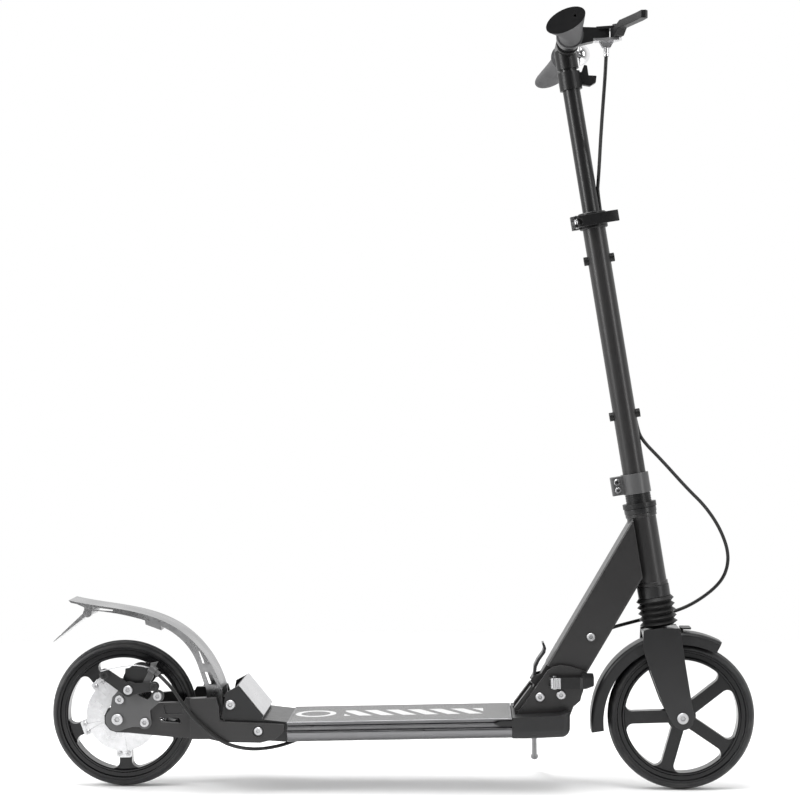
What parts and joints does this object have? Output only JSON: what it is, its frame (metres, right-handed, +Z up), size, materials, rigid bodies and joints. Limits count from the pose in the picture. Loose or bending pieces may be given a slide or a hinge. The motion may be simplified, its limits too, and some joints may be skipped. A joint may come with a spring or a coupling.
{
  "type": "folding kick scooter",
  "caption": "Two-wheel folding kick scooter: flat deck on large wheels, height-adjustable T handlebar, hand disc brake, foot brake mudguard, suspension and kickstand.",
  "frame": {"origin": "on the ground, midway between the two axles, in the scooter's middle plane", "axes": "+X forwards, +Y to the rider's left, +Z up"},
  "size_m": [0.964, 0.45, 1.034],
  "materials": {
    "rubber_black": "solid polyurethane, satin black",
    "rim_black": "satin black moulded rim",
    "steel_bright": "zinc plated steel",
    "disc_steel": "ground stainless steel",
    "paint_grey": "satin titanium-grey paint",
    "paint_light": "satin light-grey paint",
    "alu_bright": "silver anodised",
    "deck_silver": "silver anodised extrusion",
    "tape_grey": "pale grey gritted grip tape",
    "plastic_black": "fine-grained black plastic",
    "plastic_grey": "fine-grained dark grey plastic",
    "rubber_soft": "matt black rubber",
    "grip_rubber": "soft grey rubber",
    "chrome_part": "bright chrome",
    "paint_dark": "satin dark-grey paint",
    "cable_black": "black cable housing"
  },
  "bodies": {
    "deck": {"deck_extrusion": "deck_silver", "grip_tape": "tape_grey", "front_cap": "plastic_grey", "fold_bracket": "paint_grey", "fold_bolts": "steel_bright", "kickstand_bracket": "steel_bright", "rear_bracket": "paint_dark", "heel_plate": "alu_bright", "rear_bracket_bolts": "steel_bright", "suspension_block": "rubber_soft", "brake_cable_lower": "cable_black", "brake_cable_rear": "cable_black"},
    "neck": {"neck_beam": "paint_grey", "neck_bolts": "steel_bright", "head_tube": "paint_grey", "headset": "plastic_black", "brake_cable_loop": "cable_black"},
    "latch": {"latch_pedal": "steel_bright"},
    "column": {"steerer_tube": "plastic_black", "steerer_clamp": "paint_light", "lower_stem_tube": "paint_grey", "stem_bumpers": "rubber_soft", "height_clamp": "plastic_black", "stem_bolts": "steel_bright", "brake_cable_upper": "cable_black"},
    "height_lever": {"height_clamp_lever": "plastic_black"},
    "handlebar": {"upper_stem_tube": "paint_dark", "bar_tee": "plastic_black", "handlebar_tube": "alu_bright", "grips": "grip_rubber", "grip_end_caps": "plastic_black", "brake_lever_perch": "plastic_black", "bell_base": "plastic_black", "bell_dome": "chrome_part", "stem_hook": "plastic_black"},
    "hand_lever": {"brake_lever": "plastic_black"},
    "striker": {"bell_striker": "plastic_black"},
    "fork": {"fork": "paint_grey", "front_fender": "plastic_grey", "front_axle": "steel_bright", "fork_bellows": "rubber_soft", "fork_spring_coils": "steel_bright"},
    "front_wheel": {"front_tyre": "rubber_black", "front_rim": "rim_black", "front_bearings": "steel_bright"},
    "quick_lever": {"fold_lever": "plastic_black"},
    "stand": {"kickstand": "steel_bright"},
    "swingarm": {"swingarm": "paint_grey", "rear_axle": "steel_bright", "caliper_carrier": "paint_light", "carrier_bolts": "steel_bright", "caliper_body": "paint_dark", "fender_pin": "steel_bright"},
    "rear_wheel": {"rear_tyre": "rubber_black", "rear_rim": "rim_black", "rear_bearings": "steel_bright", "brake_disc": "disc_steel", "disc_screws": "steel_bright"},
    "caliper_arm": {"caliper_arm": "paint_dark"},
    "foot_brake": {"rear_fender": "alu_bright"}
  },
  "joints": [
    {"name": "neck_fold", "type": "hinge", "parent": "deck", "child": "neck", "pos_m": [0.1886, 0, 0.1294], "axis": [0, 1, 0], "range_deg": [-76, 0], "deforming": ["brake_cable_lower"]},
    {"name": "steering", "type": "hinge", "parent": "neck", "child": "column", "pos_m": [0.34016, 0, 0.3], "axis": [-0.1617, 0, 0.9868], "range_deg": [-70, 70], "deforming": ["brake_cable_loop"]},
    {"name": "bar_height", "type": "slide", "parent": "column", "child": "handlebar", "axis": [-0.1617, 0, 0.9868], "range_m": [-0.15, 0], "deforming": ["brake_cable_upper"]},
    {"name": "height_lever_turn", "type": "hinge", "parent": "column", "child": "height_lever", "pos_m": [0.23833, -0.0225, 0.77312], "axis": [-0.1617, 0, 0.9868], "range_deg": [-115, 0]},
    {"name": "brake_lever_pull", "type": "hinge", "parent": "handlebar", "child": "hand_lever", "pos_m": [0.288, -0.082, 1.019], "axis": [0, 0, 1], "range_deg": [-18, 0], "stiffness_Nm_per_rad": 1.5, "springref_deg": 11.46},
    {"name": "bell_strike", "type": "hinge", "parent": "handlebar", "child": "striker", "pos_m": [0.243, 0.0765, 1.015], "axis": [0, 0, 1], "range_deg": [0, 30], "stiffness_Nm_per_rad": 0.05, "springref_deg": -17.19},
    {"name": "fork_slide", "type": "slide", "parent": "column", "child": "fork", "axis": [-0.1617, 0, 0.9868], "range_m": [0, 0.015], "stiffness_N_per_m": 8000, "springref_m": -0.01, "deforming": ["fork_bellows", "fork_spring_coils"]},
    {"name": "front_wheel_spin", "type": "hinge", "parent": "fork", "child": "front_wheel", "pos_m": [0.382, 0, 0.1], "axis": [0, 1, 0], "continuous": true},
    {"name": "latch_press", "type": "hinge", "parent": "neck", "child": "latch", "pos_m": [0.18094, 0, 0.15013], "axis": [0, 1, 0], "range_deg": [-22, 0], "stiffness_Nm_per_rad": 0.4, "springref_deg": 17.19},
    {"name": "fold_lever_turn", "type": "hinge", "parent": "deck", "child": "quick_lever", "pos_m": [0.208, -0.0465, 0.15], "axis": [0, 0, 1], "range_deg": [-110, 0]},
    {"name": "stand_fold", "type": "hinge", "parent": "deck", "child": "stand", "pos_m": [0.1835, 0.058, 0.0665], "axis": [0, 0.5831, 0.8124], "range_deg": [0, 90]},
    {"name": "rear_suspension", "type": "hinge", "parent": "deck", "child": "swingarm", "pos_m": [-0.1905, 0, 0.0862], "axis": [0, 1, 0], "range_deg": [0, 5], "stiffness_Nm_per_rad": 1100, "springref_deg": -0.69, "deforming": ["suspension_block", "brake_cable_rear"]},
    {"name": "rear_wheel_spin", "type": "hinge", "parent": "swingarm", "child": "rear_wheel", "pos_m": [-0.382, 0, 0.1], "axis": [0, 1, 0], "continuous": true},
    {"name": "caliper_turn", "type": "hinge", "parent": "swingarm", "child": "caliper_arm", "pos_m": [-0.3663, -0.068, 0.1407], "axis": [0, 1, 0], "range_deg": [0, 15]},
    {"name": "foot_brake_press", "type": "hinge", "parent": "swingarm", "child": "foot_brake", "pos_m": [-0.2484, 0, 0.1017], "axis": [0, 1, 0], "range_deg": [-10.8, 0], "stiffness_Nm_per_rad": 5, "springref_deg": 11.46}
  ],
  "couplings": [
    {"joint": "caliper_turn", "follows": "brake_lever_pull", "ratio": -0.83333}
  ]
}
